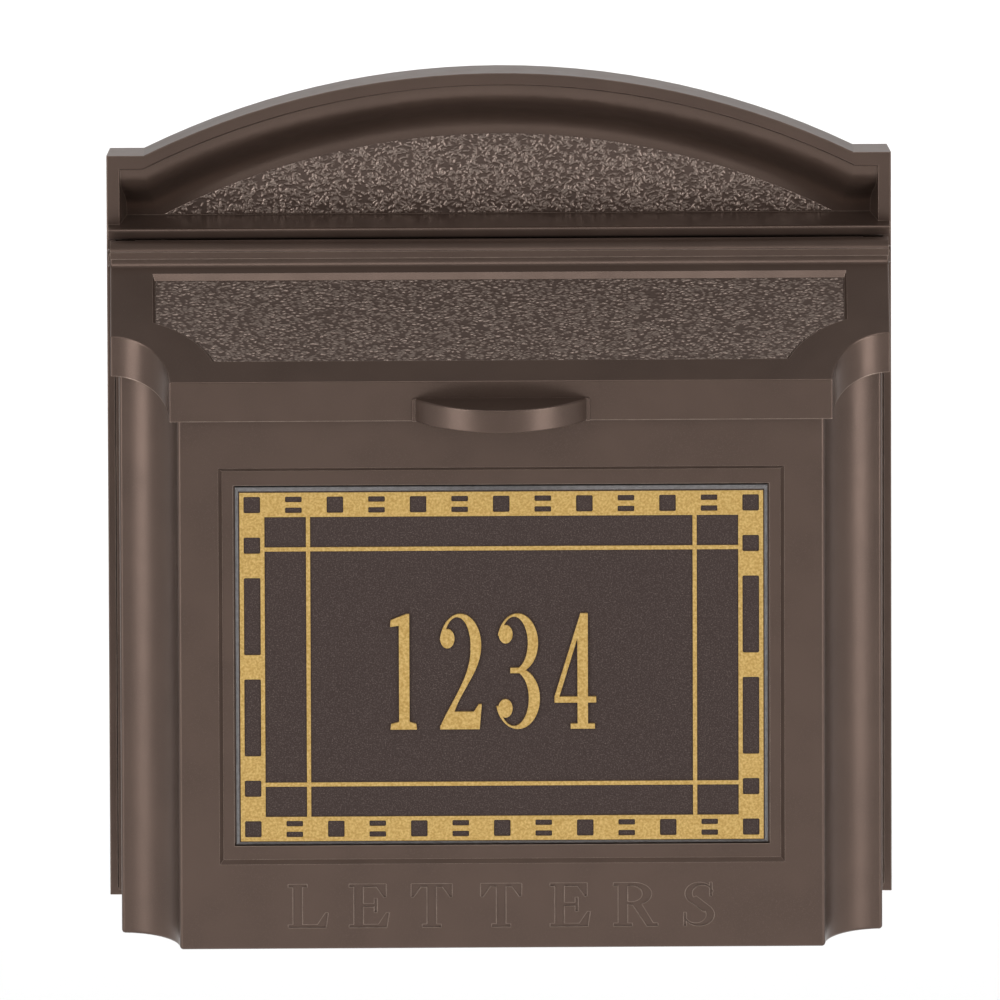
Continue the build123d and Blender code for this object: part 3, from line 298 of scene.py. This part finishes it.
def skin_mesh(name, top, quads, n, back):
    """A closed mesh: the raised top, walls round it, and a flat back."""
    mesh = bpy.data.meshes.new(name)
    mesh.from_pydata(top.tolist(), [], quads.tolist())
    shape = bmesh.new()
    shape.from_mesh(mesh)
    rim = [edge for edge in shape.edges if edge.is_boundary]
    walls = bmesh.ops.extrude_edge_only(shape, edges=rim)["geom"]
    for vertex in walls:
        if isinstance(vertex, bmesh.types.BMVert):
            vertex.co += n * (back - vertex.co.dot(n))
    bmesh.ops.holes_fill(shape, edges=[edge for edge in shape.edges if edge.is_boundary], sides=0)
    bmesh.ops.recalc_face_normals(shape, faces=shape.faces)
    shape.to_mesh(mesh)
    shape.free()
    for polygon in mesh.polygons:
        polygon.use_smooth = len(polygon.vertices) == 4
    return mesh


def flecked_skin(name, node, normal, up, offset, seed, swing, ground):
    """A closed thin skin over a CAD node's flat face, its outside raised in flecks."""
    n, v_axis = Vector(normal), Vector(up)
    u_axis = v_axis.cross(n)
    edges = flat_outline(node, normal, offset)
    flat = [tuple((Vector(p).dot(u_axis), Vector(p).dot(v_axis)) for p in edge) for edge in edges]
    corners = np.array([p for edge in flat for p in edge])
    low, high = corners.min(0) - FLECK_GRID, corners.max(0) + FLECK_GRID
    columns = int((high[0] - low[0]) / FLECK_GRID) + 1
    rows = int((high[1] - low[1]) / FLECK_GRID) + 1
    us = low[0] + np.arange(columns) * FLECK_GRID
    vs = low[1] + np.arange(rows) * FLECK_GRID
    gu, gv = np.meshgrid(us, vs)
    points = np.stack([gu.ravel(), gv.ravel()], 1)
    gap, inside = edge_distance(points, flat)
    area = (high[0] - low[0]) * (high[1] - low[1])
    relief = fleck_field(columns, rows, area, seed, swing).ravel() * FLECK_HEIGHT
    fade = np.clip(gap / FLECK_EDGE, 0, 1)
    level = SKIN_FLOOR + relief * fade - SKIN_LIP_DROP * (1 - np.clip(gap / SKIN_LIP, 0, 1))
    used, quads = whole_cells(inside, columns, rows)
    top = np.outer(points[used, 0], u_axis) + np.outer(points[used, 1], v_axis)
    top += np.outer(offset + level[used], n)
    mesh = skin_mesh(name, top, quads, n, offset - SKIN_DEPTH)
    mesh.materials.append(fleck_highlight_paint(name + "_paint", normal, offset, ground))
    skin = bpy.data.objects.new(name, mesh)
    bpy.context.scene.collection.objects.link(skin)
    return skin


CREST_PANEL_DEPTH = 0.004
crest_panel = flecked_skin(
    "crest_panel_flecks", "back_casting", (0, -1, 0), (0, 0, 1), CREST_PANEL_DEPTH,
    seed=11, swing=math.pi / 2, ground=CREST_GROUND,
)
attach(crest_panel, "root")


# ---- front shell --------------------------------------------------------------------------
# Aluminium casting in the same paint, with scooped corners, a framed seat for the plaque and
# a sunk word. Six screws from behind hold it to the back casting.

coat(paint, "front_shell")

ZINC = (0.62, 0.61, 0.58, 1)
ZINC_ROUGHNESS = 0.32
ZINC_DULL = 0.72             # share of its brightness left where it has dulled
STAIN_SIZE = 0.004
TURNING_SIZE = 0.0006
TURNING_DEPTH = 0.00002


def plated_steel(name, colour, roughness):
    """Zinc-plated steel with faint turning marks."""
    material, tree, shader = new_material(name)
    place = object_place(tree)
    stain = noise(tree, place, STAIN_SIZE, 4.0)
    dull = tuple(c * ZINC_DULL for c in colour[:3]) + (1,)
    tree.links.new(ramp(tree, stain, 0.3, 0.7, dull, colour), shader.inputs["Base Color"])
    marks = noise(tree, place, TURNING_SIZE, 2.0)
    tree.links.new(
        ramp(tree, marks, 0.3, 0.7, grey(roughness - 0.06), grey(roughness + 0.1)),
        shader.inputs["Roughness"],
    )
    shader.inputs["Metallic"].default_value = 1.0
    bumps(tree, shader, marks, TURNING_DEPTH, 0.3)
    return material


zinc = plated_steel("zinc_plate", ZINC, ZINC_ROUGHNESS)
coat(zinc, "shell_screws")


# ---- hinge --------------------------------------------------------------------------------
# A pin on each side passes through the lid's skirt and a nylon washer into the shell's ear,
# where it is pressed in and held by a clip. Pin heads are painted; washers are nylon.

coat(paint, "hinge_pin_left", "hinge_pin_right")
coat(zinc, "hinge_clip_left", "hinge_clip_right")

NYLON_DARK = (0.58, 0.56, 0.50, 1)
NYLON_LIGHT = (0.68, 0.66, 0.60, 1)
MOULD_CLOUD = 0.003
MOULD_SKIN_DEPTH = 0.00004


def moulded(name, dark, light, roughness, grain):
    """Moulded plastic or rubber with a fine skin."""
    material, tree, shader = new_material(name)
    place = object_place(tree)
    tone = noise(tree, place, MOULD_CLOUD, 3.0)
    tree.links.new(ramp(tree, tone, 0.3, 0.7, dark, light), shader.inputs["Base Color"])
    skin = noise(tree, place, grain, 2.0)
    tree.links.new(
        ramp(tree, skin, 0.3, 0.7, grey(roughness - 0.05), grey(roughness + 0.08)),
        shader.inputs["Roughness"],
    )
    bumps(tree, shader, skin, MOULD_SKIN_DEPTH, 0.5)
    return material


nylon = moulded("nylon", NYLON_DARK, NYLON_LIGHT, roughness=0.45, grain=0.0005)
coat(nylon, "hinge_washer_left", "hinge_washer_right")


# ---- lid ----------------------------------------------------------------------------------
# Aluminium casting that swings up on the two pins, in the same paint. Its slope has a sunk
# panel with the same flecked ground as the crest.

coat(paint, "lid")

LID_RISE = 0.537             # metres up for each metre back
LID_SLOPE = math.atan(LID_RISE)
LID_PANEL_DEPTH = 0.0015
LEAST_FLAT = 0.00001         # square metres; smaller faces are slivers
# The lid's ground is the crest's paint made lighter: painted light on the sloping panel.
LID_GROUND_PAINTED_LIGHTER = (0.128, 0.091, 0.076, 1)
slope_normal = (0, -math.sin(LID_SLOPE), math.cos(LID_SLOPE))
slope_up = (0, math.cos(LID_SLOPE), math.sin(LID_SLOPE))


def highest_flat(node, normal):
    """How far out along its normal a node's outermost flat face lies."""
    across = Vector(normal)
    faces = [face for face in nodes[node].data.polygons if face.area > LEAST_FLAT]
    return max(face.center.dot(across) for face in faces if face.normal.dot(across) > PARALLEL)


slope_offset = highest_flat("lid", slope_normal)
lid_panel = flecked_skin(
    "lid_panel_flecks", "lid", slope_normal, slope_up, slope_offset - LID_PANEL_DEPTH,
    seed=23, swing=0.5, ground=LID_GROUND_PAINTED_LIGHTER,
)
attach(lid_panel, "lid_assembly")


# ---- pull and bumpers ---------------------------------------------------------------------
# The pull is a small casting in the same paint, screwed on from inside the lip.
# Two rubber bumpers in the front wall take the lid's weight when it is shut.

RUBBER_DARK = (0.012, 0.012, 0.013, 1)
RUBBER_LIGHT = (0.025, 0.025, 0.026, 1)

coat(paint, "lid_pull")
coat(zinc, "pull_screws")
black_rubber = moulded("black_rubber", RUBBER_DARK, RUBBER_LIGHT, roughness=0.7, grain=0.0004)
coat(black_rubber, "lid_bumper_left", "lid_bumper_right")


# ---- address plaque -----------------------------------------------------------------------
# A cast plate with a sand-textured dark brown ground, its bevelled edge ground back to bare
# metal. It sits on a gasket in the shell's frame, on four studs with washers and nuts.

GROUND_DARK = (0.033, 0.020, 0.017, 1)
GROUND_LIGHT = (0.115, 0.086, 0.077, 1)
BARE_METAL = (0.42, 0.42, 0.43, 1)
UPPER_BARE = 0.45            # share of bare metal kept where the slanted edge faces upward, which makes that part darker
SAND_SIZE = 0.0006
SAND_DEPTH = 0.0002
GRINDING_SIZE = 0.002
PLAQUE_SPECULAR = 0.25


def plaque_finish(name):
    """Dark sand texture on the flats, bare ground metal on the slanted edge."""
    material, tree, shader = new_material(name)
    place = object_place(tree)
    grains = noise(tree, place, SAND_SIZE, 2.0)
    ground = ramp(tree, grains, 0.50, 0.85, GROUND_DARK, GROUND_LIGHT)
    face = tree.nodes.new("ShaderNodeNewGeometry")
    facing = tree.nodes.new("ShaderNodeSeparateXYZ")
    tree.links.new(face.outputs["True Normal"], facing.inputs["Vector"])
    steep = add(tree, "ShaderNodeMath", operation="ABSOLUTE")
    tree.links.new(facing.outputs["Y"], steep.inputs[0])
    slanted = ramp(tree, steep.outputs["Value"], 0.86, 0.88, grey(1), grey(0))
    upper = ramp(tree, facing.outputs["Z"], 0.3, 0.4, grey(1), grey(UPPER_BARE))
    both = add(tree, "ShaderNodeMath", operation="MULTIPLY")
    tree.links.new(slanted, both.inputs[0])
    tree.links.new(upper, both.inputs[1])
    bare = both.outputs["Value"]
    metal = ramp(tree, noise(tree, place, GRINDING_SIZE, 3.0), 0.3, 0.7, grey(0.30), BARE_METAL)
    tree.links.new(mix(tree, bare, ground, metal), shader.inputs["Base Color"])
    tree.links.new(bare, shader.inputs["Metallic"])
    rough = ramp(tree, grains, 0.3, 0.7, grey(0.62), grey(0.48))
    smooth = ramp(tree, grains, 0.3, 0.7, grey(0.38), grey(0.46))
    tree.links.new(mix(tree, bare, rough, smooth), shader.inputs["Roughness"])
    shader.inputs["Specular IOR Level"].default_value = PLAQUE_SPECULAR
    bumps(tree, shader, grains, SAND_DEPTH, 0.6)
    return material


coat(plaque_finish("plaque_ground"), "address_plaque")
coat(black_rubber, "plaque_gasket")
coat(zinc, "plaque_studs", "plaque_washers", "plaque_nuts")


# ---- gold relief and digits ---------------------------------------------------------------
# The raised border and the digits are painted in a gold enamel with metal powder, put on by
# roller, so their tops show a fine peel.

GOLD = (0.44, 0.27, 0.070, 1)
GOLD_LIGHT = (0.66, 0.45, 0.165, 1)
GOLD_METAL = 0.55            # share of metal powder
GOLD_PATCH = 0.0011
BORDER_PEEL = 0.00022
DIGIT_PEEL = 0.00008


def gold_enamel(name, peel):
    """Gold enamel with metal powder and a rolled-on texture."""
    material, tree, shader = new_material(name)
    place = object_place(tree)
    patch = noise(tree, place, GOLD_PATCH, 4.0)
    tree.links.new(ramp(tree, patch, 0.35, 0.7, GOLD, GOLD_LIGHT), shader.inputs["Base Color"])
    tree.links.new(ramp(tree, patch, 0.3, 0.7, grey(0.46), grey(0.36)), shader.inputs["Roughness"])
    shader.inputs["Metallic"].default_value = GOLD_METAL
    bumps(tree, shader, patch, peel, 0.6)
    return material


coat(gold_enamel("gold_border", BORDER_PEEL), "plaque_border")
coat(gold_enamel("gold_digits", DIGIT_PEEL), "house_numbers")


# ---- studio -------------------------------------------------------------------------------
# A plain pale floor under a wall-hung box, lit brightly behind it; two tall soft boxes at the
# sides, one above the front, and a sky that is bright behind and dim overhead.

lowest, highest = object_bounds()
middle = (lowest + highest) / 2
FLOOR_DROP = 0.45
FLOOR_SIZE = 60.0
FLOOR_PALE = 0.90
SKY_FRONT = 0.325
SKY_BEHIND = 0.65
SKY_OVERHEAD = 0.30


def pale_floor():
    """A large plain floor some way below the box."""
    mesh = bpy.data.meshes.new("studio_floor")
    half = FLOOR_SIZE / 2
    z = lowest.z - FLOOR_DROP
    corners = [(-half, -half, z), (half, -half, z), (half, half, z), (-half, half, z)]
    mesh.from_pydata(corners, [], [(0, 1, 2, 3)])
    floor = bpy.data.objects.new("studio_floor", mesh)
    bpy.context.scene.collection.objects.link(floor)
    material, _, shader = new_material("pale_floor")
    shader.inputs["Base Color"].default_value = grey(FLOOR_PALE)
    shader.inputs["Roughness"].default_value = 0.9
    shader.inputs["Specular IOR Level"].default_value = 0.0
    mesh.materials.append(material)


pale_floor()


def studio_sky():
    """Light from all round: bright behind, softer in front, dim overhead."""
    world = bpy.data.worlds.new("studio")
    bpy.context.scene.world = world
    world.use_nodes = True
    tree = world.node_tree
    background = tree.nodes["Background"]
    direction = tree.nodes.new("ShaderNodeTexCoord").outputs["Generated"]
    parts = tree.nodes.new("ShaderNodeSeparateXYZ")
    tree.links.new(direction, parts.inputs["Vector"])
    level = ramp(tree, parts.outputs["Y"], 0.05, 0.7, grey(SKY_FRONT), grey(SKY_BEHIND))
    overhead = ramp(tree, parts.outputs["Z"], 0.80, 0.94, grey(0), grey(1))
    roofed = add(tree, "ShaderNodeMix", data_type="RGBA", B=grey(SKY_OVERHEAD))
    tree.links.new(overhead, roofed.inputs["Factor"])
    tree.links.new(level, roofed.inputs["A"])
    tree.links.new(roofed.outputs["Result"], background.inputs["Color"])


studio_sky()


def soft_box(name, place, aim, width, height, power):
    """A rectangular area light that points at a place."""
    data = bpy.data.lights.new(name, "AREA")
    data.shape = "RECTANGLE"
    data.size = width
    data.size_y = height
    data.energy = power
    light = bpy.data.objects.new(name, data)
    light.location = place
    light.rotation_mode = "QUATERNION"
    light.rotation_quaternion = (Vector(aim) - Vector(place)).to_track_quat("-Z", "Y")
    bpy.context.scene.collection.objects.link(light)


for name, side in (("left_box", -1), ("right_box", 1)):
    soft_box(name, (side * 1.7, -1.7, 0.45), middle, width=1.0, height=2.4, power=32)
soft_box("upper_box", (0, -1.5, 2.1), middle, width=2.4, height=0.9, power=15)
soft_box("floor_light", (0, 3.6, 2.4), (0, 3.6, -0.6), width=6.0, height=3.5, power=150)


# ---- camera -------------------------------------------------------------------------------
# A very long lens a long way off, nearly square on to the front and looking slightly down, so
# that the box's upright edges stay almost parallel.

CAMERA_ELEVATION = math.radians(16.5)
CAMERA_AZIMUTH = math.radians(-0.42)
CAMERA_ROLL = math.radians(-0.19)
CAMERA_DISTANCE = 22.3
AIM_OFFSET = Vector((-0.0002, 0.0066, 0.0043))     # from the middle of the box
VIEW_WIDTH = 0.4617          # width of what it takes in, at the box
SENSOR = 36.0                # millimetres


def aim_camera():
    """Places the camera and turns it towards the box."""
    data = bpy.data.cameras.new("camera")
    data.sensor_width = SENSOR
    data.lens = SENSOR * CAMERA_DISTANCE / VIEW_WIDTH
    data.clip_end = 200.0
    camera = bpy.data.objects.new("camera", data)
    bpy.context.scene.collection.objects.link(camera)
    level = math.cos(CAMERA_ELEVATION)
    across = math.sin(CAMERA_AZIMUTH) * level
    ahead = -math.cos(CAMERA_AZIMUTH) * level
    back = Vector((across, ahead, math.sin(CAMERA_ELEVATION)))
    camera.location = middle + AIM_OFFSET + back * CAMERA_DISTANCE
    camera.rotation_euler = (-back).to_track_quat("-Z", "Y").to_euler()
    camera.rotation_euler.rotate_axis("Z", CAMERA_ROLL)
    bpy.context.scene.camera = camera


aim_camera()
bpy.context.scene.view_settings.view_transform = "Standard"
